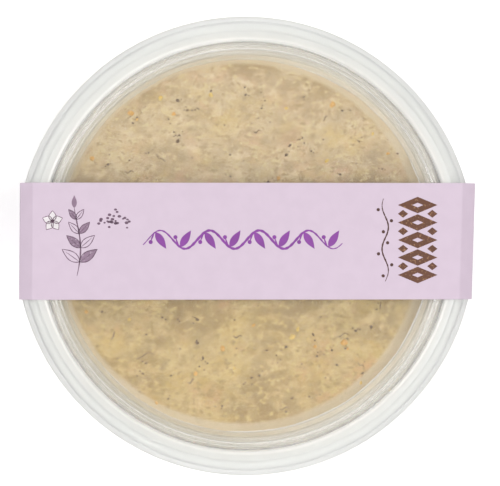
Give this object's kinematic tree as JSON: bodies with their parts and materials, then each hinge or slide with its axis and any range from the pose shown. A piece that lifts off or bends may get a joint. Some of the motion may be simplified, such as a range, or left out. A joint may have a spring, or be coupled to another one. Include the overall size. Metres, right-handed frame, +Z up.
{
  "type": "baba ganoush",
  "caption": "Creamy aubergine dip in a round clear plastic tub with a sunken press-fit lid and a lavender paper band round the middle.",
  "frame": {"origin": "under the middle of the tub, on the surface that it stands on", "axes": "+Z up; the paper band runs over the lid along X; +Y is the top of the lid as the picture shows it"},
  "size_m": [0.1161, 0.117, 0.042],
  "materials": {
    "tub_plastic": "clear, slightly milky plastic, glossy",
    "lid_plastic": "clear glossy plastic",
    "dip": "moist satin, creamy with dark specks",
    "paper": null
  },
  "bodies": {
    "root": {"tub": "tub_plastic", "dip": "dip", "lid": "lid_plastic", "band": "paper"}
  },
  "joints": []
}
